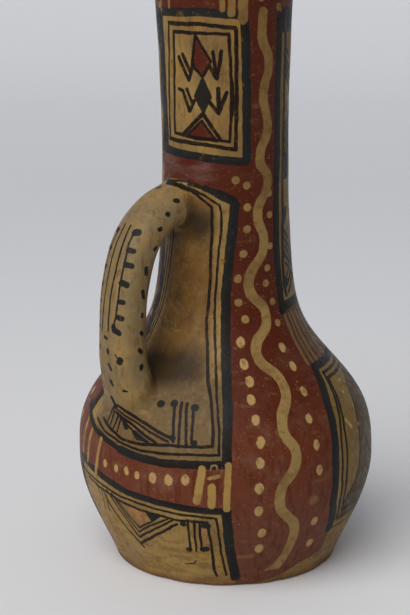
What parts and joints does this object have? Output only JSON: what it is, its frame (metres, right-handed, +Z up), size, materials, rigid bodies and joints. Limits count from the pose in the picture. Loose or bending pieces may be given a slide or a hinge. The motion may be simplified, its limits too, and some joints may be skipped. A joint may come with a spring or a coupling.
{
  "type": "pottery vase with handle",
  "caption": "Tall-necked, round-bellied earthenware vase with one loop handle, hollow and open at the mouth, painted with bands, diamonds, dots and wavy lines.",
  "frame": {"origin": "middle of the flat underside", "axes": "+Z up along the neck, the handle on the -X side, +Y to the left of someone who looks along +X"},
  "size_m": [0.1564, 0.156, 0.345],
  "materials": {
    "painted_clay": "fired clay with a burnished ochre slip, painted in dark red, blue-black and yellow, under a worn, semi-gloss resin coat"
  },
  "bodies": {
    "root": {"vase": "painted_clay"}
  },
  "joints": []
}
